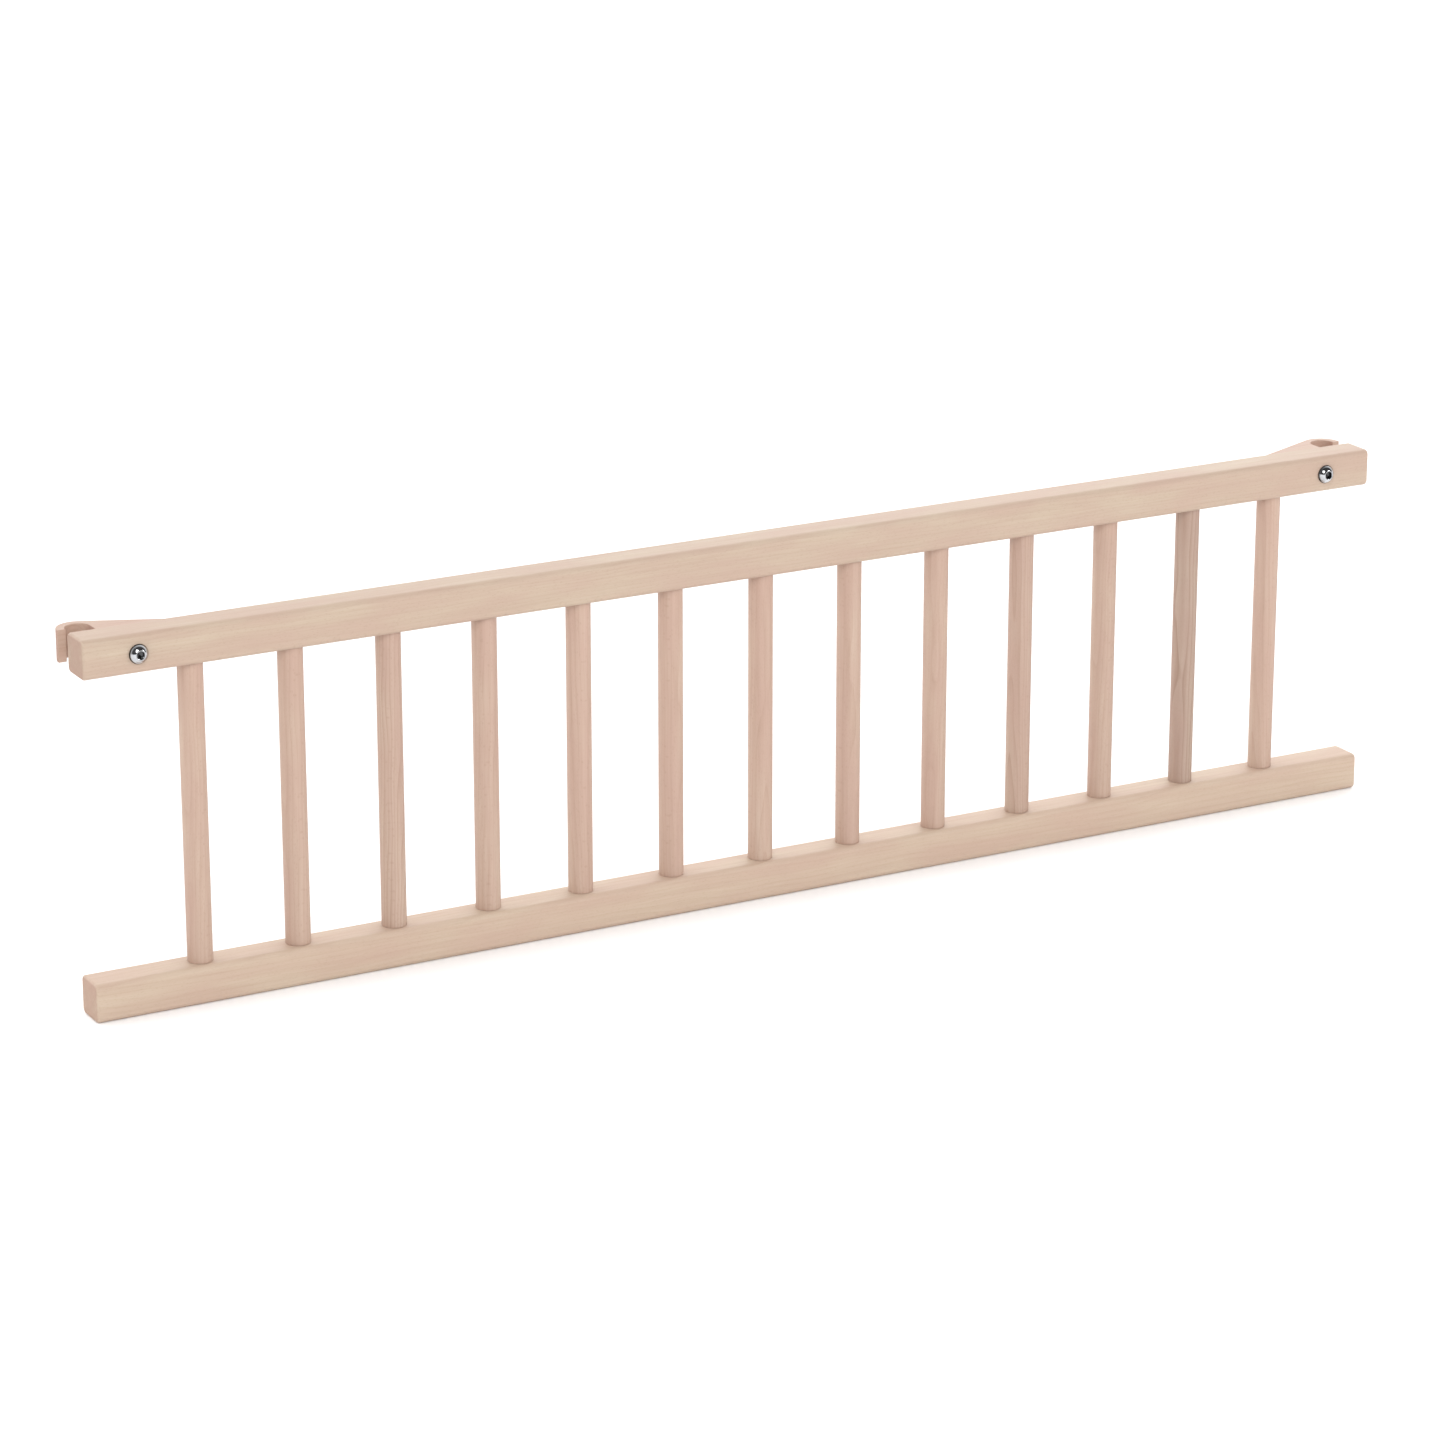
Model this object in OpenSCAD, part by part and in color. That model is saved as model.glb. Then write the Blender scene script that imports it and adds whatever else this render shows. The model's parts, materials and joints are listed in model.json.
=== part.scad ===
// Clamp-on barrier gate for a bedside cot: two square rails, a row of round spindles,
// and a bolted wooden hook behind each end of the top rail that grips a bar of the cot.
// X runs along the rails, Y from the front to the back, and Z up. The origin is the
// middle of the bottom rail's underside.

/* [Gate] */
// Length of both rails
rail_len = 1050; // [1040:1:1200]
// Height from the underside of the bottom rail to the top of the top rail
gate_h = 273; // [220:1:320]
// Number of spindles
spindle_count = 13; // [9:2:13]
// Distance between spindle centres
spindle_pitch = 73.8; // [60:0.1:75]
// Diameter of a spindle
spindle_d = 18; // [16:0.5:20]

/* [Rails] */
// Width and height of a rail's square section
rail_s = 28; // [26:0.5:30]
// Radius of a rail's long edges
edge_r = 4; // [2:0.5:5]
// Radius of the edges round a rail's ends
end_r = 2; // [1:0.5:3]

/* [Spindle joints] */
// Diameter of the tenon on each end of a spindle
tenon_d = 12; // [10:0.5:14]
// Length of a tenon
tenon_len = 14; // [10:0.5:18]

/* [Hooks] */
// Width of the notch that takes a bar of the cot, round at its bottom
notch_w = 18; // [16:0.5:20]
// Depth of the notch behind the rail
notch_depth = 23; // [20:0.5:25]
// Distance from a rail's end to the middle of the notch
notch_from_end = 13.5; // [12:0.5:14]
// Distance from a rail's end to the bolt
bolt_from_end = 40; // [39:0.5:44]
// Height of a hook
hook_h = 23; // [20:0.5:26]
// Thickness of the hook's wall round the notch
hook_wall = 6; // [5.5:0.5:8]
// Gap between the flat end of the hook's arm and the back of the rail
mouth = 13; // [11:0.5:14]
// Distance from the bolt to the middle of the hook's round tail
tail_reach = 37; // [32:0.5:42]

/* [Hardware] */
// Length of the bolt under its head
bolt_len = 39; // [37:0.5:39]
// Diameter of the bolt's button head
head_d = 14; // [13:0.5:16]
// Height of the bolt's head
head_h = 4.4; // [4:0.1:5]
// Width across the flats of the hexagon sockets
socket_af = 5; // [4:0.5:5]
// Diameter of the cap nut's smooth shank
shank_d = 10.5; // [10:0.5:11.5]
// Diameter of the cap nut's head
nut_head_d = 15; // [14:0.5:16]

/* [Hidden] */
$fn = 64;
// Free space round a glued tenon, and past its end
glue_gap = 0.05;
bottom_gap = 0.5;
// Free space round a turning or sliding fit
run_gap = 0.05;
// Free radius round the bolt in the rail, and round the nut's head in the hook
bolt_play = 0.5;
recess_play = 0.5;
bolt_d = 8;
thread_pitch = 1.25;
thread_depth = 0.65;
bolt_chamfer = 1;
rim_h = 0.6;
crown_d = 7.2;
socket_depth = 2.8;
nut_head_h = 2.4;
nut_edge = 0.6;
// Thickness of the wood under the nut's head, and how far the shank stops short of the rail
seat_v = 11.5;
shank_gap = 0.6;
tail_r = 1.5;
heel_r = 1;
overcut = 1;
far = 60;

back_y = rail_s / 2;
front_y = -rail_s / 2;
rail_mid_z = rail_s / 2;
top_rail_z = gate_h - rail_s / 2;
spindle_span = gate_h - 2 * rail_s;
bolt_x = rail_len / 2 - bolt_from_end;
notch_r = notch_w / 2;
hook_r = notch_r + hook_wall;
// Middle of the notch's round bottom, from the bolt along the rail and from the rail's back
ring = [bolt_from_end - notch_from_end, notch_depth - notch_r];
spindle_x = [for (i = [0:spindle_count - 1]) (i - (spindle_count - 1) / 2) * spindle_pitch];

// A rectangle with round corners, centred on the origin
module round_rect(w, h, r) {
    square([w - 2 * r, h], center = true);
    square([w, h - 2 * r], center = true);
    for (sx = [-1, 1], sy = [-1, 1])
        translate([sx * (w / 2 - r), sy * (h / 2 - r)]) circle(r = r);
}

// A square bar along X with softened long edges and ends, centred on the origin
module bar() {
    intersection() {
        rotate([90, 0, 90]) linear_extrude(rail_len, center = true)
            round_rect(rail_s, rail_s, edge_r);
        linear_extrude(rail_s + overcut, center = true) round_rect(rail_len, rail_s, end_r);
        rotate([90, 0, 0]) linear_extrude(rail_s + overcut, center = true)
            round_rect(rail_len, rail_s, end_r);
    }
}

// Blind holes for the tenons, opening upwards from a bar centred on the origin
module tenon_holes() {
    for (x = spindle_x)
        translate([x, 0, rail_s / 2 - tenon_len - bottom_gap])
            cylinder(d = tenon_d, h = tenon_len + bottom_gap + overcut);
}

// Clearance holes for the two bolts, right through a bar centred on the origin
module bolt_holes() {
    for (side = [-1, 1])
        translate([side * bolt_x, 0, 0]) rotate([90, 0, 0])
            cylinder(r = bolt_d / 2 + bolt_play, h = rail_s + 2 * overcut, center = true);
}

module bottom_rail() {
    color("#e3c9b0") translate([0, 0, rail_mid_z]) difference() {
        bar();
        tenon_holes();
    }
}

module top_rail() {
    color("#e6cdb6") translate([0, 0, top_rail_z]) difference() {
        bar();
        mirror([0, 0, 1]) tenon_holes();
        bolt_holes();
    }
}

// Spindle number i, counted from the left, with a turned tenon on each end
module spindle(i) {
    color("#dcbba4") translate([spindle_x[i - 1], 0, rail_s]) {
        cylinder(d = spindle_d, h = spindle_span);
        translate([0, 0, -tenon_len])
            cylinder(d = tenon_d - 2 * glue_gap, h = spindle_span + 2 * tenon_len);
    }
}

// The solid part of a hook's outline, between its round tail and the ring round the notch.
// The bolt's axis is at u = 0 and the rail's back at v = 0.
module hook_body_outline() {
    tail = [-tail_reach, tail_r];
    span = ring - tail;
    // The sloping back touches the tail's circle and the ring's circle
    slope = atan2(span[1], span[0]) + asin((hook_r - tail_r) / norm(span));
    rise = [-sin(slope), cos(slope)];
    heel_u = ring[0] - notch_r;
    polygon([
        [tail[0], 0],
        [heel_u - heel_r, 0],
        [heel_u, heel_r],
        [heel_u, ring[1]],
        ring,
        ring + hook_r * rise,
        tail + tail_r * rise,
        tail
    ]);
    translate(tail) circle(r = tail_r);
    translate([heel_u - heel_r, heel_r]) circle(r = heel_r);
}

// A hook's outline seen from above: a notch open towards the rail, and an arm with a flat end
// that reaches round the far side of the bar
module hook_outline() {
    difference() {
        union() {
            hook_body_outline();
            translate(ring) circle(r = hook_r);
        }
        translate(ring) circle(r = notch_r);
        translate([ring[0] - notch_r, -far]) square([notch_w, ring[1] + far]);
        translate([ring[0], mouth - far]) square(far);
    }
}

// A hook on the right (side = 1) or the left (side = -1), drilled and recessed for its nut
module hook(side) {
    color("#dcb89c") translate([side * bolt_x, back_y, top_rail_z]) difference() {
        mirror([side < 0 ? 1 : 0, 0, 0]) linear_extrude(hook_h, center = true) hook_outline();
        rotate([-90, 0, 0]) {
            translate([0, 0, -overcut])
                cylinder(r = shank_d / 2 + run_gap, h = seat_v + 2 * overcut);
            translate([0, 0, seat_v]) cylinder(r = nut_head_d / 2 + recess_play, h = far);
        }
    }
}

// A hexagonal hole for a key, drilled down from the origin
module key_socket() {
    translate([0, 0, -socket_depth])
        cylinder(d = socket_af / cos(30), h = socket_depth + overcut, $fn = 6);
}

// A threaded rod along Z from z = 0, with a ring groove at every pitch and a tapered end
module threaded_rod(len) {
    r = bolt_d / 2;
    turns = floor((len - bolt_chamfer) / thread_pitch);
    rotate_extrude() polygon(concat(
        [[0, 0], [r - thread_depth, 0]],
        [
            for (k = [0:turns - 1])
                for (p = [[r, k + 0.5], [r - thread_depth, k + 1]]) [p[0], p[1] * thread_pitch]
        ],
        [[r - thread_depth, len - bolt_chamfer], [r - thread_depth - bolt_chamfer, len], [0, len]]
    ));
}

// A button-head socket screw that enters the front of the top rail
module bolt(side) {
    rim_r = head_d / 2;
    crown_r = crown_d / 2;
    // The dome's ball passes through the top of the rim and the edge of the flat crown
    sink = (rim_r ^ 2 + rim_h ^ 2 - crown_r ^ 2 - head_h ^ 2) / (2 * (rim_h - head_h));
    ball_r = sqrt(rim_r ^ 2 + (rim_h - sink) ^ 2);
    color("#b8bbbd") translate([side * bolt_x, front_y, top_rail_z]) {
        rotate([90, 0, 0]) difference() {
            intersection() {
                cylinder(r = rim_r, h = head_h);
                translate([0, 0, sink]) sphere(r = ball_r);
            }
            translate([0, 0, head_h]) key_socket();
        }
        rotate([-90, 0, 0]) threaded_rod(bolt_len);
    }
}

// A cap nut let into the back of a hook. The hook turns on its smooth shank.
module cap_nut(side) {
    head_r = nut_head_d / 2;
    top_v = seat_v + nut_head_h;
    color("#b0b3b5") translate([side * bolt_x, back_y, top_rail_z]) rotate([-90, 0, 0])
        difference() {
            rotate_extrude() polygon([
                [0, shank_gap],
                [shank_d / 2, shank_gap],
                [shank_d / 2, seat_v],
                [head_r, seat_v],
                [head_r, top_v - nut_edge],
                [head_r - nut_edge, top_v],
                [0, top_v]
            ]);
            cylinder(r = bolt_d / 2 + run_gap, h = seat_v);
            translate([0, 0, top_v]) key_socket();
        }
}

top_rail();
bottom_rail();
for (i = [1:spindle_count])
    spindle(i);
hook(-1);  // hook_left
hook(1);  // hook_right
bolt(-1);  // bolt_left
bolt(1);  // bolt_right
cap_nut(-1);  // cap_nut_left
cap_nut(1);  // cap_nut_right
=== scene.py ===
"""The looks of the clamp-on barrier gate: beech rails, spindles and hooks, and bright screws."""
import json
import math
import random

import bmesh
import bpy
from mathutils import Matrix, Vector

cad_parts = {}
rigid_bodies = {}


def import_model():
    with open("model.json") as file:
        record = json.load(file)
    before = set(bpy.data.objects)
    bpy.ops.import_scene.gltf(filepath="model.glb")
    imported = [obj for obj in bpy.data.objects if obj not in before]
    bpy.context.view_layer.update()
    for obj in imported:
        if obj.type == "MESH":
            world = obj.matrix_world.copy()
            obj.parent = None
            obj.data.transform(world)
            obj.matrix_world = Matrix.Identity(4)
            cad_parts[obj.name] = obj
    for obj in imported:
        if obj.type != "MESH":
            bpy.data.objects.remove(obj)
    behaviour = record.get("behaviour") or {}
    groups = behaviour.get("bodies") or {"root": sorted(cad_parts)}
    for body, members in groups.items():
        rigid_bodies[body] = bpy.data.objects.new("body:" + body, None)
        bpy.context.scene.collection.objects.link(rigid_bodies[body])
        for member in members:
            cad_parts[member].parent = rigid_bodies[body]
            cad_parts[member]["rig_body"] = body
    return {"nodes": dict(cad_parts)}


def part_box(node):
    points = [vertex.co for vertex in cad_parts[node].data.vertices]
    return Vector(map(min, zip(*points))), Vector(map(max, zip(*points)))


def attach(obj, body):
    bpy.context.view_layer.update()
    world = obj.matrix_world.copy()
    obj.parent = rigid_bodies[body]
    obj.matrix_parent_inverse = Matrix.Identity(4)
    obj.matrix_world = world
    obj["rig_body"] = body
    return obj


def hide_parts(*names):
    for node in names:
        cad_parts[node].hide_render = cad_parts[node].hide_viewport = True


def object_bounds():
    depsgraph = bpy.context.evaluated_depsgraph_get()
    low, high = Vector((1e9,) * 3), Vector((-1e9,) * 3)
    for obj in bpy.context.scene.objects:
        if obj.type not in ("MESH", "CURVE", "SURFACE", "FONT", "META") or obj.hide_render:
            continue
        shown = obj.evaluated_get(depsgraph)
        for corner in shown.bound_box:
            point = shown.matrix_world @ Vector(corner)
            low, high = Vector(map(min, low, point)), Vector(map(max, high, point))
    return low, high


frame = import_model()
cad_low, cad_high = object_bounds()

MM = 0.001

# Sizes of the design that a node's box doesn't give, in metres
EDGE_R = 4 * MM
END_R = 2 * MM
SPINDLE_R = 9 * MM
TENON_R = 5.95 * MM
SOCKET_R = 6 * MM
SOCKET_DEPTH = 14.5 * MM
BOLT_HOLE_R = 4.5 * MM
SHOULDER_EASE = 0.35 * MM
NOTCH_R = 9 * MM
NOTCH_DEPTH = 23 * MM
NOTCH_FROM_BOLT = 26.5 * MM
HOOK_WALL = 6 * MM
MOUTH = 13 * MM
TAIL_REACH = 37 * MM
TAIL_R = 1.5 * MM
HEEL_R = 1 * MM
HOOK_EASE = 0.6 * MM
RIM_EASE = 0.3 * MM
SHANK_R = 5.25 * MM
SHANK_BORE_R = 5.3 * MM
RECESS_R = 8 * MM
SEAT_DEPTH = 11.5 * MM
THREAD_R = 4 * MM
THREAD_PITCH = 1.25 * MM
THREAD_DEPTH = 0.65 * MM
RUN_GAP = 0.05 * MM
HEAD_H = 4.4 * MM
RIM_H = 0.6 * MM
CROWN_R = 3.6 * MM
SOCKET_AF = 5 * MM
KEY_DEPTH = 2.8 * MM
NUT_FLOOR = 0.7 * MM
NUT_KEY = 0.3 * MM
KEY_CORNER = SOCKET_AF / 2 / math.cos(math.pi / 6)

ARC_STEP = math.radians(6)
SHARP_ANGLE = math.radians(35)
TURNED_SEGMENTS = 72
RAIL_SPANS = 28
DOME_STEPS = 14
THREAD_STEPS = 8  # rings of points in a turn of the thread
FLOOR_HALF = 15

SIDES = {"left": -1, "right": 1}
SPINDLES = sorted(
    (n for n in frame["nodes"] if n.startswith("spindle_")),
    key=lambda n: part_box(n)[0].x,
)


# ---------------------------------------------------------------- camera, floor and light

CAMERA_AZIMUTH = math.radians(-28.74)
CAMERA_ELEVATION = math.radians(17.9)
CAMERA_DISTANCE = 3.48
CAMERA_AIM = Vector((-0.0313, 0, 0.1363))
CAMERA_LENS = 119.9
# (position from one side of the sky to the other, brightness), from front to back and from
# below to above
WORLD_DEPTH = ((0.0, 0.34), (0.42, 0.46), (0.60, 0.9), (1.0, 1.0))
MIRRORED_DEPTH = ((0.0, 0.02), (0.40, 0.05), (0.56, 0.9), (1.0, 1.2))
WORLD_HEIGHT = ((0.0, 1.0), (0.60, 1.0), (0.85, 0.75), (1.0, 0.7))
WORLD_STRENGTH = 2.15
KEY_POWER = 50
FILL_POWER = 36
RIM_POWER = 11


def make_camera():
    back = Vector((
        math.sin(CAMERA_AZIMUTH) * math.cos(CAMERA_ELEVATION),
        -math.cos(CAMERA_AZIMUTH) * math.cos(CAMERA_ELEVATION),
        math.sin(CAMERA_ELEVATION),
    ))
    data = bpy.data.cameras.new("camera")
    data.lens = CAMERA_LENS
    data.sensor_width = 36
    camera = bpy.data.objects.new("camera", data)
    camera.location = CAMERA_AIM + back * CAMERA_DISTANCE
    camera.rotation_mode = "QUATERNION"
    camera.rotation_quaternion = (-back).to_track_quat("-Z", "Y")
    bpy.context.scene.collection.objects.link(camera)
    bpy.context.scene.camera = camera


def softbox(name, place, aim, size, power):
    """A rectangular lamp that faces aim."""
    data = bpy.data.lights.new(name, "AREA")
    data.shape = "RECTANGLE"
    data.size, data.size_y = size
    data.energy = power
    light = bpy.data.objects.new(name, data)
    light.location = place
    light.rotation_mode = "QUATERNION"
    light.rotation_quaternion = (Vector(aim) - Vector(place)).to_track_quat("-Z", "Y")
    bpy.context.scene.collection.objects.link(light)


def make_studio():
    """A white sweep that is brightest behind the gate, with a dim room behind the camera, which
    gives the screws something dark to mirror."""
    scene = bpy.context.scene
    scene.view_settings.view_transform = "Standard"
    world = bpy.data.worlds.new("studio")
    world.use_nodes = True
    scene.world = world
    nodes, link = world.node_tree.nodes, world.node_tree.links.new
    nodes.clear()
    place = nodes.new("ShaderNodeTexCoord")
    split = nodes.new("ShaderNodeSeparateXYZ")
    link(place.outputs["Generated"], split.inputs[0])
    ramps = []
    for axis, stops in (("Y", WORLD_DEPTH), ("Z", WORLD_HEIGHT), ("Y", MIRRORED_DEPTH)):
        toward = nodes.new("ShaderNodeMapRange")
        toward.inputs["From Min"].default_value = -1
        link(split.outputs[axis], toward.inputs["Value"])
        ramp = nodes.new("ShaderNodeValToRGB")
        while len(ramp.color_ramp.elements) < len(stops):
            ramp.color_ramp.elements.new(0.5)
        for element, (position, value) in zip(ramp.color_ramp.elements, stops):
            element.position = position
            element.color = (value, value, value, 1)
        link(toward.outputs["Result"], ramp.inputs["Fac"])
        ramps.append(ramp)
    path = nodes.new("ShaderNodeLightPath")
    depth = nodes.new("ShaderNodeMix")
    depth.data_type = "RGBA"
    link(path.outputs["Is Glossy Ray"], depth.inputs["Factor"])
    link(ramps[0].outputs["Color"], depth.inputs["A"])
    link(ramps[2].outputs["Color"], depth.inputs["B"])
    both = nodes.new("ShaderNodeVectorMath")
    both.operation = "MULTIPLY"
    link(depth.outputs["Result"], both.inputs[0])
    link(ramps[1].outputs["Color"], both.inputs[1])
    room = nodes.new("ShaderNodeBackground")
    room.inputs["Strength"].default_value = WORLD_STRENGTH
    link(both.outputs["Vector"], room.inputs["Color"])
    white = nodes.new("ShaderNodeBackground")
    white.inputs["Color"].default_value = (1, 1, 1, 1)
    mix = nodes.new("ShaderNodeMixShader")
    out = nodes.new("ShaderNodeOutputWorld")
    link(path.outputs["Is Camera Ray"], mix.inputs["Fac"])
    link(room.outputs[0], mix.inputs[1])
    link(white.outputs[0], mix.inputs[2])
    link(mix.outputs[0], out.inputs["Surface"])
    aim = (0, 0, 0.15)
    softbox("key", (-1.5, -2.6, 2.3), aim, (1.1, 1.4), KEY_POWER)
    softbox("fill", (2.4, -2.8, 1.4), aim, (0.9, 1.5), FILL_POWER)
    softbox("rim", (1.7, 1.5, 1.6), (0.35, 0, 0.1), (1.6, 1.0), RIM_POWER)


def make_floor():
    material = bpy.data.materials.new("floor_paint")
    material.use_nodes = True
    nodes, link = material.node_tree.nodes, material.node_tree.links.new
    shader = nodes["Principled BSDF"]
    shader.inputs["Roughness"].default_value = 0.85
    shader.inputs["Specular IOR Level"].default_value = 0.1
    noise = nodes.new("ShaderNodeTexNoise")
    noise.inputs["Scale"].default_value = 6
    place = nodes.new("ShaderNodeTexCoord")
    ramp = nodes.new("ShaderNodeValToRGB")
    ramp.color_ramp.elements[0].color = (0.965, 0.97, 0.975, 1)
    ramp.color_ramp.elements[1].color = (0.985, 0.99, 0.995, 1)
    link(place.outputs["Object"], noise.inputs["Vector"])
    link(noise.outputs["Fac"], ramp.inputs["Fac"])
    link(ramp.outputs["Color"], shader.inputs["Base Color"])
    half = FLOOR_HALF
    mesh = bpy.data.meshes.new("floor")
    mesh.from_pydata(
        [(-half, -half, 0), (half, -half, 0), (half, half, 0), (-half, half, 0)], [], [(0, 1, 2, 3)]
    )
    mesh.materials.append(material)
    floor = bpy.data.objects.new("floor", mesh)
    floor.location.z = cad_low.z
    bpy.context.scene.collection.objects.link(floor)


# ---------------------------------------------------------------- materials


class Tree:
    """A material's nodes, with short calls that add one and link it up."""

    def __init__(self, name):
        self.material = bpy.data.materials.new(name)
        self.material.use_nodes = True
        self.nodes = self.material.node_tree.nodes
        self.link = self.material.node_tree.links.new
        self.shader = self.nodes["Principled BSDF"]

    def _feed(self, socket, value):
        if hasattr(value, "is_output"):
            self.link(value, socket)
        else:
            socket.default_value = value

    def vector(self, operation, a, b):
        node = self.nodes.new("ShaderNodeVectorMath")
        node.operation = operation
        self._feed(node.inputs[0], a)
        self._feed(node.inputs[1], b)
        return node.outputs["Vector"]

    def math(self, operation, a, b=0.0, c=0.0):
        node = self.nodes.new("ShaderNodeMath")
        node.operation = operation
        for socket, value in zip(node.inputs, (a, b, c)):
            self._feed(socket, value)
        return node.outputs[0]

    def turned(self, vector, angles):
        node = self.nodes.new("ShaderNodeMapping")
        node.inputs["Rotation"].default_value = angles
        self.link(vector, node.inputs["Vector"])
        return node.outputs["Vector"]

    def noise(self, vector, detail=3, roughness=0.55):
        node = self.nodes.new("ShaderNodeTexNoise")
        node.inputs["Scale"].default_value = 1
        node.inputs["Detail"].default_value = detail
        node.inputs["Roughness"].default_value = roughness
        self.link(vector, node.inputs["Vector"])
        return node.outputs["Fac"]

    def ramp(self, factor, stops):
        node = self.nodes.new("ShaderNodeValToRGB")
        elements = node.color_ramp.elements
        while len(elements) < len(stops):
            elements.new(0.5)
        for element, (position, colour) in zip(elements, stops):
            element.position = position
            element.color = (*colour, 1) if hasattr(colour, "__len__") else (colour,) * 3 + (1,)
        self.link(factor, node.inputs["Fac"])
        return node.outputs["Color"]

    def mixed(self, factor, a, b, blend="MIX"):
        node = self.nodes.new("ShaderNodeMix")
        node.data_type = "RGBA"
        node.blend_type = blend
        self._feed(node.inputs["Factor"], factor)
        self._feed(node.inputs["A"], a)
        self._feed(node.inputs["B"], b)
        return node.outputs["Result"]

    def span(self, value, low, high):
        node = self.nodes.new("ShaderNodeMapRange")
        node.inputs["To Min"].default_value = low
        node.inputs["To Max"].default_value = high
        self.link(value, node.inputs["Value"])
        return node.outputs["Result"]

    def bump(self, height, distance, strength=1.0):
        node = self.nodes.new("ShaderNodeBump")
        node.inputs["Distance"].default_value = distance
        node.inputs["Strength"].default_value = strength
        self.link(height, node.inputs["Height"])
        self.link(node.outputs["Normal"], self.shader.inputs["Normal"])


RAIL_WOOD = {
    "light": (0.552, 0.450, 0.346),
    "mid": (0.494, 0.382, 0.288),
    "dark": (0.389, 0.273, 0.194),
    "fleck": (0.331, 0.219, 0.148),
    "pink": (0.494, 0.349, 0.277),
}
SPINDLE_WOOD = {
    "light": (0.500, 0.375, 0.296),
    "mid": (0.450, 0.317, 0.244),
    "dark": (0.351, 0.228, 0.164),
    "fleck": (0.298, 0.182, 0.126),
    "pink": (0.461, 0.309, 0.250),
}


FIBRE_WEIGHT = 0.42
PATCH_WEIGHT = 0.55
FLECK_SHARE = 0.20
END_GRAIN_SHARE = 0.9


def beech(name, upright, centre, shades, tone=1.0, pith=70, turn=0.0, tilt=0.5, ring=2.6,
          ring_depth=0.30, streak_depth=0.22, pinkness=0.25):
    """Beech cut from a log: growth rings round a pith that lies pith mm from centre, ray flecks
    and fine fibres. turn is the way to the pith round the grain, and tilt how much the grain
    runs out of the face, both in degrees. ring is a ring's width in mm."""
    t = Tree(name)
    place = t.nodes.new("ShaderNodeTexCoord")
    grain = t.vector("SUBTRACT", place.outputs["Object"], tuple(centre))
    grain = t.vector("MULTIPLY", grain, (1000, 1000, 1000))
    if upright:
        grain = t.turned(grain, (0, math.pi / 2, 0))
    grain = t.turned(grain, (math.radians(turn), math.radians(tilt), math.radians(tilt * 0.6)))
    # After this, X runs along the grain, Y towards the bark and Z along the rings

    bend = t.noise(t.vector("MULTIPLY", grain, (0.0055, 0.035, 0.035)), detail=2)
    shift = t.nodes.new("ShaderNodeCombineXYZ")
    t.link(t.math("MULTIPLY_ADD", bend, 14.0, pith - 7.0), shift.inputs["Y"])
    waves = t.nodes.new("ShaderNodeTexWave")
    waves.wave_type = "RINGS"
    waves.rings_direction = "X"
    waves.wave_profile = "SAW"
    waves.inputs["Scale"].default_value = math.pi / 10 / ring
    waves.inputs["Distortion"].default_value = 0
    t.link(t.vector("ADD", grain, shift.outputs[0]), waves.inputs["Vector"])
    rings = t.ramp(waves.outputs["Fac"], [(0, 0.0), (0.5, 0.12), (0.82, 0.55), (0.94, 1.0), (1, 0.1)])

    fibres = t.noise(t.vector("MULTIPLY", grain, (0.05, 1.5, 1.5)), detail=5, roughness=0.7)
    streaks = t.noise(t.vector("MULTIPLY", grain, (0.007, 0.28, 0.28)), detail=3)
    patches = t.noise(t.vector("MULTIPLY", grain, (0.012, 0.05, 0.05)), detail=2)
    rays = t.nodes.new("ShaderNodeTexVoronoi")
    rays.inputs["Scale"].default_value = 1
    t.link(t.vector("MULTIPLY", grain, (0.28, 0.10, 1.6)), rays.inputs["Vector"])
    flecks = t.ramp(rays.outputs["Distance"], [(0.10, 1.0), (0.34, 0.0)])

    depth = t.math("MULTIPLY_ADD", rings, ring_depth, 0.5 - 0.3 * ring_depth)
    depth = t.math("MULTIPLY_ADD", t.math("SUBTRACT", fibres, 0.5), FIBRE_WEIGHT, depth)
    depth = t.math("MULTIPLY_ADD", t.math("SUBTRACT", streaks, 0.5), 3 * streak_depth, depth)
    depth = t.math("MULTIPLY_ADD", t.math("SUBTRACT", patches, 0.5), PATCH_WEIGHT, depth)
    toned = {k: tuple(c * tone for c in v) for k, v in shades.items()}
    colour = t.ramp(depth, [(0.1, toned["light"]), (0.5, toned["mid"]), (1.0, toned["dark"])])
    blush = t.math("MULTIPLY", t.ramp(patches, [(0.36, 0.15), (0.64, 1.0)]), pinkness)
    colour = t.mixed(blush, colour, (*toned["pink"], 1))
    colour = t.mixed(t.math("MULTIPLY", flecks, FLECK_SHARE), colour, (*toned["fleck"], 1))

    # End grain drinks the light: darker, and rougher
    facing = t.nodes.new("ShaderNodeSeparateXYZ")
    t.link(place.outputs["Normal"], facing.inputs[0])
    along = t.math("ABSOLUTE", facing.outputs["Z" if upright else "X"])
    end = t.math("POWER", along, 6.0)
    colour = t.mixed(t.math("MULTIPLY", end, END_GRAIN_SHARE), colour, (0.80, 0.71, 0.70, 1), "MULTIPLY")
    t.link(colour, t.shader.inputs["Base Color"])

    rough = t.span(fibres, 0.50, 0.66)
    t.link(t.math("ADD", rough, t.math("MULTIPLY", end, 0.15)), t.shader.inputs["Roughness"])
    t.shader.inputs["Specular IOR Level"].default_value = 0.42
    height = t.math("MULTIPLY_ADD", rings, 0.25, fibres)
    height = t.math("MULTIPLY_ADD", flecks, -0.35, height)
    t.bump(height, 0.05 * MM, 0.6)
    return t.material


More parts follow.
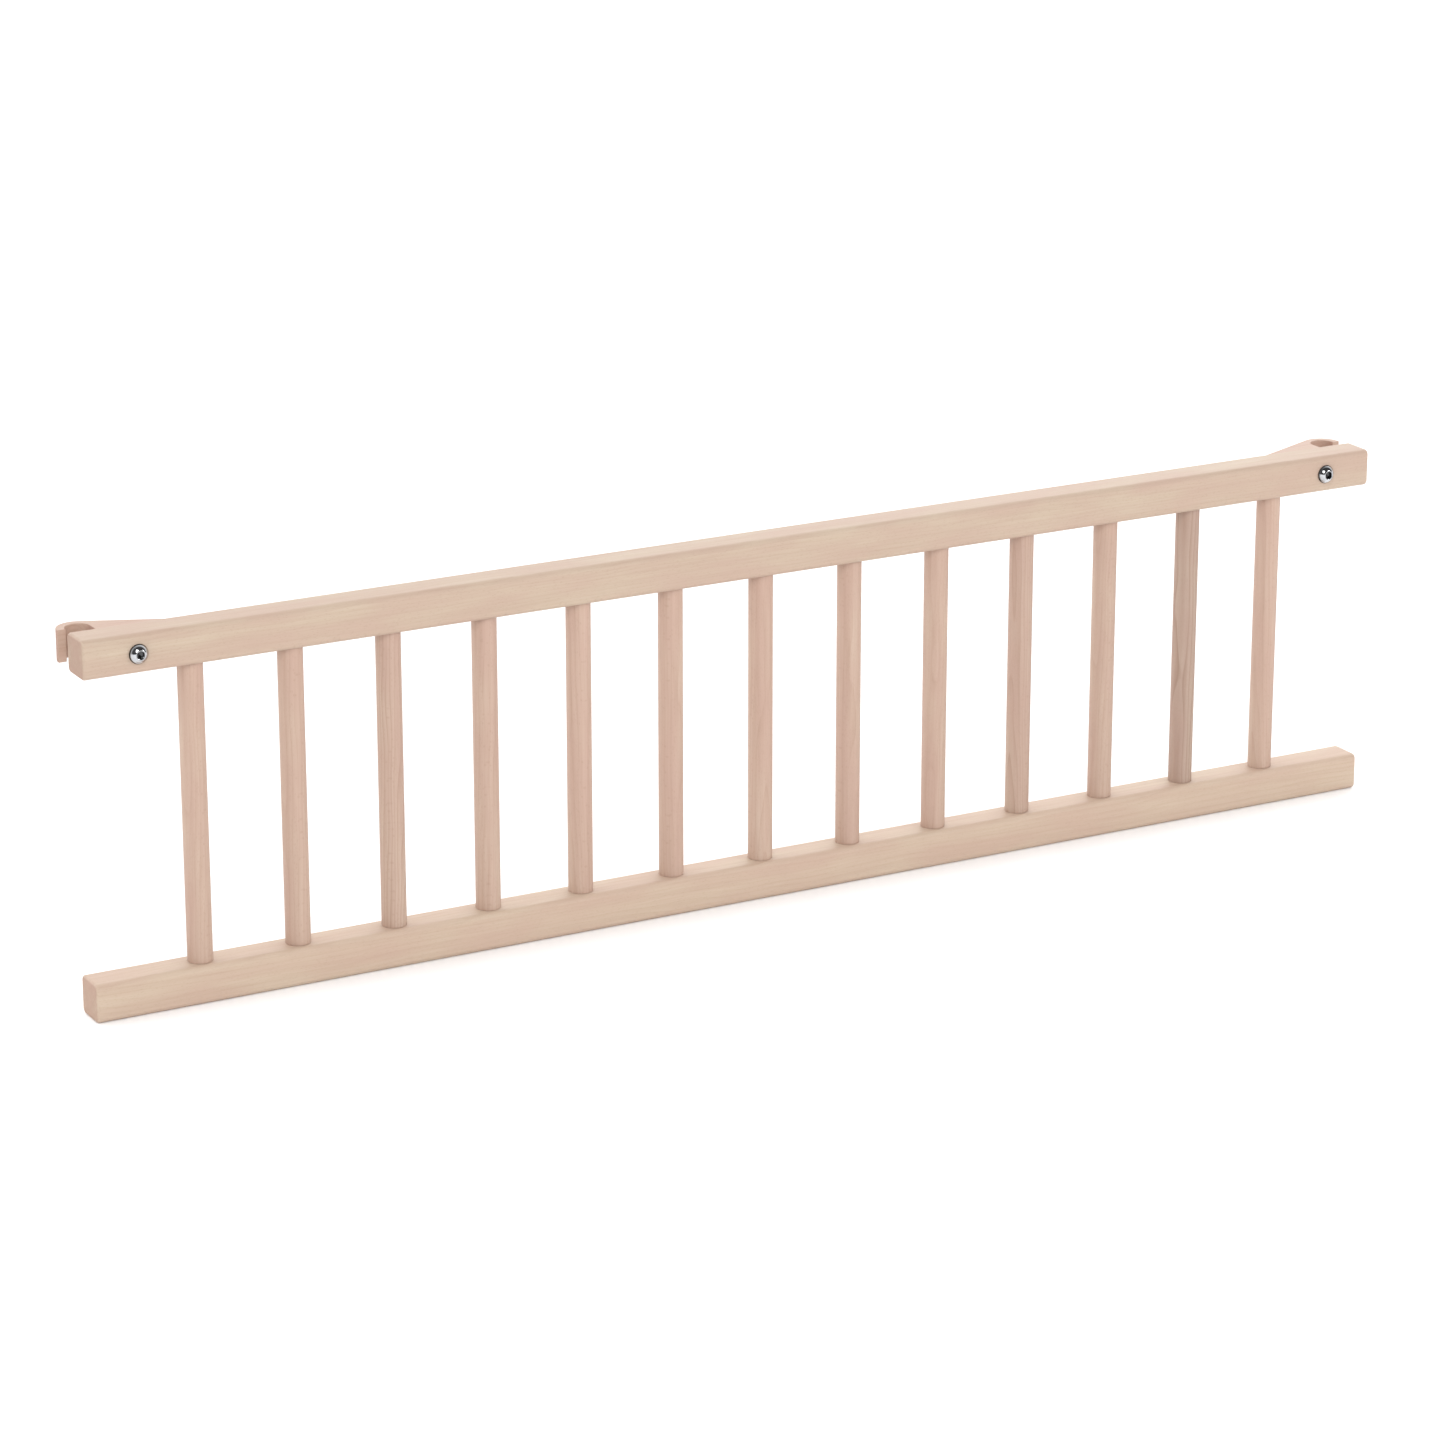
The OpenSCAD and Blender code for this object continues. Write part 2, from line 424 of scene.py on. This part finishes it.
def bright_steel(name, centre):
    """Bright plating with painted dark reflection and painted shade in its base colour: darker round
    the rim, in a thin line at the crown's edge and down in the key's socket, with faint turning marks
    round the screw's axis and finger smudges. centre is on the axis."""
    t = Tree(name)
    place = t.nodes.new("ShaderNodeTexCoord")
    local = t.vector("SUBTRACT", place.outputs["Object"], tuple(centre))
    local = t.vector("MULTIPLY", local, (1000, 1000, 1000))
    across = t.nodes.new("ShaderNodeVectorMath")
    across.operation = "LENGTH"
    t.link(t.vector("MULTIPLY", local, (1, 0, 1)), across.inputs[0])
    radius = t.math("DIVIDE", across.outputs["Value"], 8.0)
    # Painted dark reflection and painted shade, by radius from the axis: dark in the key's socket, a
    # thin dark line at the crown's edge and a dark band round the rim
    rings = t.ramp(radius, [
        (0.0, 0.10), (0.36, 0.16), (0.40, 1.0), (0.445, 0.45), (0.46, 1.0), (0.78, 0.85), (0.84, 0.10),
        (1.0, 0.10),
    ])
    smudge = t.noise(t.vector("MULTIPLY", local, (0.35, 0.35, 0.35)), detail=4)
    tint = t.ramp(smudge, [(0.3, (0.50, 0.51, 0.53)), (0.7, (0.62, 0.62, 0.63))])
    t.link(t.mixed(1.0, tint, rings, "MULTIPLY"), t.shader.inputs["Base Color"])
    t.link(t.span(smudge, 0.06, 0.20), t.shader.inputs["Roughness"])
    t.shader.inputs["Metallic"].default_value = 1
    marks = t.nodes.new("ShaderNodeTexWave")
    marks.wave_type = "RINGS"
    marks.rings_direction = "Y"
    marks.inputs["Scale"].default_value = 1.1
    marks.inputs["Distortion"].default_value = 0.6
    marks.inputs["Detail"].default_value = 3
    t.link(local, marks.inputs["Vector"])
    t.bump(marks.outputs["Fac"], 0.01 * MM, 0.2)
    return t.material


# ---------------------------------------------------------------- mesh helpers


def make_object(name, bm):
    bmesh.ops.recalc_face_normals(bm, faces=bm.faces)
    mesh = bpy.data.meshes.new(name)
    bm.to_mesh(mesh)
    bm.free()
    thing = bpy.data.objects.new(name, mesh)
    bpy.context.scene.collection.objects.link(thing)
    return thing


def make_piece(name, bm, material, node):
    """A finished piece that stands for one CAD node and rides on its body."""
    piece = make_object(name, bm)
    piece.data.materials.append(material)
    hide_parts(node)
    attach(piece, frame["nodes"][node]["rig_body"])
    return piece


def cut(piece, cutters):
    """Drills the cutters out of a piece."""
    for cutter in cutters:
        drill = piece.modifiers.new("drill", "BOOLEAN")
        drill.operation = "DIFFERENCE"
        drill.solver = "EXACT"
        drill.object = cutter
    bpy.context.view_layer.update()
    shaped = piece.evaluated_get(bpy.context.evaluated_depsgraph_get())
    mesh = bpy.data.meshes.new_from_object(shaped)
    piece.modifiers.clear()
    piece.data = mesh
    for cutter in cutters:
        bpy.data.objects.remove(cutter)


def finish_shading(piece, ease=0.0):
    """Softens the sharp rims by ease, and shades curves smooth and flats flat."""
    for polygon in piece.data.polygons:
        polygon.use_smooth = True
    piece.data.set_sharp_from_angle(angle=SHARP_ANGLE)
    if ease:
        rim = piece.modifiers.new("ease", "BEVEL")
        rim.width = ease
        rim.segments = 2
        rim.limit_method = "ANGLE"
        rim.angle_limit = math.radians(50)
    flats = piece.modifiers.new("flats", "WEIGHTED_NORMAL")
    flats.keep_sharp = True
    flats.weight = 80


def loft(bm, rings):
    """Skins a row of rings, which have the same number of points, and closes its two ends."""
    rows = [[bm.verts.new(p) for p in ring] for ring in rings]
    count = len(rows[0])
    for a, b in zip(rows, rows[1:]):
        for i in range(count):
            j = (i + 1) % count
            bm.faces.new((a[i], a[j], b[j], b[i]))
    bm.faces.new(rows[0])
    bm.faces.new(rows[-1])


def turned(profile, place, segments=TURNED_SEGMENTS):
    """A body turned about an axis from (radius, height) pairs. A radius may be a function of the
    angle and the height. place takes x, y and the height to a point of the part."""
    bm = bmesh.new()
    rings = []
    for radius, height in profile:
        ring = []
        for i in range(segments):
            a = 2 * math.pi * i / segments
            r = radius(a, height) if callable(radius) else radius
            ring.append(place(r * math.cos(a), r * math.sin(a), height))
        rings.append(ring)
    loft(bm, rings)
    return bm


def rounding(r, steps=6):
    """(distance from the end, inset of the side) down a quarter-round edge of radius r."""
    turns = (math.pi / 2 * i / steps for i in range(steps + 1))
    return [(r * (1 - math.cos(a)), r * (1 - math.sin(a))) for a in turns]


def arc(centre, r, start, end):
    """Points of an arc from start to end, in radians."""
    steps = max(2, math.ceil(abs(end - start) / ARC_STEP))
    turns = (start + (end - start) * i / steps for i in range(steps + 1))
    return [(centre[0] + r * math.cos(a), centre[1] + r * math.sin(a)) for a in turns]


def drill_cutter(r, start, end, sides=64):
    """A round cutter between two points on one axis."""
    axis = (end - start).normalized()
    side = axis.orthogonal().normalized()
    other = axis.cross(side)
    turns = [2 * math.pi * i / sides for i in range(sides)]
    bm = bmesh.new()
    loft(bm, [[p + r * (math.cos(a) * side + math.sin(a) * other) for a in turns] for p in (start, end)])
    return make_object("cutter", bm)


def middle_of(node):
    low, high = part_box(node)
    return (low + high) / 2


# ---------------------------------------------------------------- wooden pieces


def bar_section(x, middle, half, r):
    """The outline of a square bar with round corners, where the bar's axis is at middle."""
    points = []
    for corner, (sy, sz) in enumerate(((1, 1), (-1, 1), (-1, -1), (1, -1))):
        centre = (middle.y + sy * (half - r), middle.z + sz * (half - r))
        start = corner * math.pi / 2
        points += [(x, y, z) for y, z in arc(centre, r, start, start + math.pi / 2)]
    return points


def make_rail(name, node, material, socket_side):
    """A rail with blind sockets for the tenons on its upper (1) or lower (-1) side."""
    low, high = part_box(node)
    middle = (low + high) / 2
    half = (high.z - low.z) / 2
    left = [(low.x + d, inset) for d, inset in rounding(END_R)]
    right = [(high.x - d, inset) for d, inset in reversed(rounding(END_R))]
    span = right[0][0] - left[-1][0]
    between = [(left[-1][0] + span * k / RAIL_SPANS, 0) for k in range(1, RAIL_SPANS)]
    bm = bmesh.new()
    loft(bm, [bar_section(x, middle, half - i, EDGE_R - i) for x, i in left + between + right])
    piece = make_piece(name, bm, material, node)
    mouth = middle.z + socket_side * half
    cutters = []
    for spindle in SPINDLES:
        x = middle_of(spindle).x
        bottom = Vector((x, middle.y, mouth - socket_side * SOCKET_DEPTH))
        cutters.append(drill_cutter(SOCKET_R, bottom, Vector((x, middle.y, mouth + socket_side * MM))))
    if node == "top_rail":
        for side in SIDES:
            x = middle_of(f"bolt_{side}").x
            front = Vector((x, low.y - MM, middle.z))
            cutters.append(drill_cutter(BOLT_HOLE_R, front, Vector((x, high.y + MM, middle.z))))
    cut(piece, cutters)
    finish_shading(piece)


def make_spindle(name, node, material):
    """A turned spindle with eased shoulders and a tenon at each end."""
    middle = middle_of(node)
    low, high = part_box(node)
    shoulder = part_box("bottom_rail")[1].z
    reach = (high.z - low.z) / 2
    body = middle.z - shoulder
    half = [
        (TENON_R - MM, -reach),
        (TENON_R, MM - reach),
        (TENON_R, -body),
        (SPINDLE_R - SHOULDER_EASE, -body),
        (SPINDLE_R - SHOULDER_EASE * 0.3, SHOULDER_EASE * 0.3 - body),
        (SPINDLE_R, SHOULDER_EASE - body),
        (SPINDLE_R, -body / 3),
    ]
    profile = half + [(r, -h) for r, h in reversed(half)]
    bm = turned(profile, lambda x, y, h: middle + Vector((x, y, h)))
    piece = make_piece(name, bm, material, node)
    finish_shading(piece)


def hook_outline(inset):
    """A hook's outline from above, drawn in by inset. The bolt's axis is at u = 0 and the
    rail's back at v = 0."""
    ring = (NOTCH_FROM_BOLT, NOTCH_DEPTH - NOTCH_R)
    ring_r = NOTCH_R + HOOK_WALL
    tail = (-TAIL_REACH, TAIL_R)
    span = (ring[0] - tail[0], ring[1] - tail[1])
    slope = math.atan2(span[1], span[0]) + math.asin((ring_r - TAIL_R) / math.hypot(*span))
    heel = (ring[0] - NOTCH_R - HEEL_R, HEEL_R)
    end = MOUTH + inset - ring[1]
    inner_r, outer_r = NOTCH_R + inset, ring_r - inset
    quarter = math.pi / 2
    return (
        arc(heel, HEEL_R - inset, -quarter, 0)
        + arc(ring, inner_r, 2 * quarter, math.asin(end / inner_r))
        + arc(ring, outer_r, math.asin(end / outer_r), slope + quarter)
        + arc(tail, TAIL_R - inset, slope + quarter, 3 * quarter)
    )


def make_hook(name, side, material):
    """A flat wooden hook, bored for its cap nut's shank and recessed for the nut's head."""
    node = f"hook_{side}"
    low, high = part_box(node)
    bolt = middle_of(f"bolt_{side}")
    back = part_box("top_rail")[1].y
    levels = [(low.z + d, inset) for d, inset in rounding(HOOK_EASE, 4)]
    levels += [(high.z - d, inset) for d, inset in reversed(rounding(HOOK_EASE, 4))]
    bm = bmesh.new()
    loft(bm, [
        [(bolt.x + SIDES[side] * u, back + v, z) for u, v in hook_outline(inset)] for z, inset in levels
    ])
    piece = make_piece(name, bm, material, node)
    face = Vector((bolt.x, back, bolt.z))
    behind = Vector((0, 1, 0))
    seat = face + behind * SEAT_DEPTH
    cut(piece, [
        drill_cutter(SHANK_BORE_R, face - behind * MM, seat + behind * MM),
        drill_cutter(RECESS_R, seat, seat + behind * NOTCH_DEPTH),
    ])
    finish_shading(piece, RIM_EASE)


# ---------------------------------------------------------------- screws and nuts


def hexagon(a, height):
    """The radius of the key's hexagon at angle a."""
    sixth = math.pi / 3
    return SOCKET_AF / 2 / math.cos((a + sixth / 2) % sixth - sixth / 2)


def key_socket(top):
    """The profile of a hexagonal socket, from its mouth at top down to its drilled point."""
    floor = top - KEY_DEPTH
    return [
        (KEY_CORNER + 0.35 * MM, top),
        (KEY_CORNER + 0.15 * MM, top - 0.08 * MM),
        (hexagon, top - 0.35 * MM),
        (hexagon, floor),
        (SOCKET_AF * 0.45, floor),
        (0.2 * MM, floor - 0.9 * MM),
    ]


def thread(a, height):
    """The radius of the screw's thread, which runs as a helix."""
    phase = (height / THREAD_PITCH - a / (2 * math.pi)) % 1
    return THREAD_R - THREAD_DEPTH * min(1, 1.25 * (1 - abs(2 * phase - 1)))


def make_bolt(name, side, material):
    """A button-head socket screw, from the end of its thread to the socket in its head."""
    node = f"bolt_{side}"
    low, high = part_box(node)
    head_r = (high.x - low.x) / 2
    under = low.y + HEAD_H
    core = THREAD_R - THREAD_DEPTH
    length = high.y - under
    rings = round(length / THREAD_PITCH * THREAD_STEPS)
    profile = [(core - 0.6 * MM, -length), (core, -length + 0.6 * MM)]
    profile += [(thread, -length + 0.8 * MM + (length - 1.6 * MM) * i / rings) for i in range(rings + 1)]
    profile += [(core, -0.6 * MM), (THREAD_R, 0)]
    profile += [(head_r - 0.2 * MM, 0), (head_r, 0.2 * MM), (head_r, RIM_H)]
    # The dome's ball passes through the top of the rim and the edge of the flat crown
    sink = (head_r**2 + RIM_H**2 - CROWN_R**2 - HEAD_H**2) / (2 * (RIM_H - HEAD_H))
    ball_r = math.hypot(head_r, RIM_H - sink)
    first, last = math.atan2(RIM_H - sink, head_r), math.atan2(HEAD_H - sink, CROWN_R)
    turns = [first + (last - first) * i / DOME_STEPS for i in range(1, DOME_STEPS + 1)]
    profile += [(ball_r * math.cos(a), sink + ball_r * math.sin(a)) for a in turns]
    profile += key_socket(HEAD_H)
    middle = (low + high) / 2
    bm = turned(profile, lambda x, y, h: Vector((middle.x + x, under - h, middle.z + y)))
    piece = make_piece(name, bm, material, node)
    finish_shading(piece)


def make_cap_nut(name, side, material):
    """A cap nut: a smooth shank with a plain blind bore in place of its thread, and a flat head with
    a hexagonal socket."""
    node = f"cap_nut_{side}"
    low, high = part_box(node)
    middle = (low + high) / 2
    length = high.y - low.y
    head = high.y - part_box("top_rail")[1].y - SEAT_DEPTH
    head_r = (high.x - low.x) / 2
    seat = length - head
    bore = THREAD_R + RUN_GAP
    profile = [
        (0.2 * MM, seat - NUT_FLOOR),
        (bore, seat - NUT_FLOOR - 0.4 * MM),
        (bore, 0.4 * MM),
        (bore + 0.4 * MM, 0),
        (SHANK_R - 0.2 * MM, 0),
        (SHANK_R, 0.2 * MM),
        (SHANK_R, seat),
        (head_r - 0.2 * MM, seat),
        (head_r, seat + 0.2 * MM),
        (head_r, length - 0.6 * MM),
        (head_r - 0.6 * MM, length - 0.15 * MM),
        (head_r - 0.9 * MM, length),
    ]
    profile += [(KEY_CORNER + 0.3 * MM, length), (hexagon, length - 0.3 * MM), (hexagon, seat - NUT_KEY)]
    bm = turned(profile, lambda x, y, h: Vector((middle.x + x, low.y + h, middle.z + y)))
    piece = make_piece(name, bm, material, node)
    finish_shading(piece)


# ---------------------------------------------------------------- the whole gate

make_camera()
make_studio()
make_floor()

make_rail("top_rail_beech", "top_rail", beech(
    "top_rail_grain", False, middle_of("top_rail"), RAIL_WOOD, tone=0.91, pith=95, turn=62, tilt=0.5,
    ring_depth=0.18, streak_depth=0.20, pinkness=0.7), -1)
make_rail("bottom_rail_beech", "bottom_rail", beech(
    "bottom_rail_grain", False, middle_of("bottom_rail"), RAIL_WOOD, tone=1.0, pith=110, turn=235,
    tilt=0.4, ring_depth=0.18, streak_depth=0.20, pinkness=0.6), 1)

chance = random.Random(13)
TONES = {3: 0.96, 10: 0.94, 11: 0.96, 12: 0.80}
DARK_GRAIN = {3: 0.6, 10: 0.5, 12: 0.8}
for number, spindle in enumerate(SPINDLES, start=1):
    grain = beech(
        f"spindle_{number}_grain", True, middle_of(spindle), SPINDLE_WOOD,
        tone=TONES.get(number, 1.0) * chance.uniform(0.985, 1.01),
        pith=chance.uniform(35, 110), turn=chance.uniform(0, 360), tilt=chance.uniform(0.6, 2.0),
        ring=chance.uniform(2.2, 3.4), ring_depth=DARK_GRAIN.get(number, 0.25),
        streak_depth=chance.uniform(0.22, 0.42), pinkness=0.6,
    )
    make_spindle(f"spindle_{number}_beech", spindle, grain)

for side in SIDES:
    make_hook(f"hook_{side}_beech", side, beech(
        f"hook_{side}_grain", False, middle_of(f"hook_{side}"), SPINDLE_WOOD, tone=1.0, pith=50,
        turn=90 + 35 * SIDES[side], tilt=1.5, ring=2.4, pinkness=0.6))
    steel = bright_steel(f"steel_{side}", middle_of(f"bolt_{side}"))
    make_bolt(f"screw_{side}", side, steel)
    make_cap_nut(f"nut_{side}", side, steel)
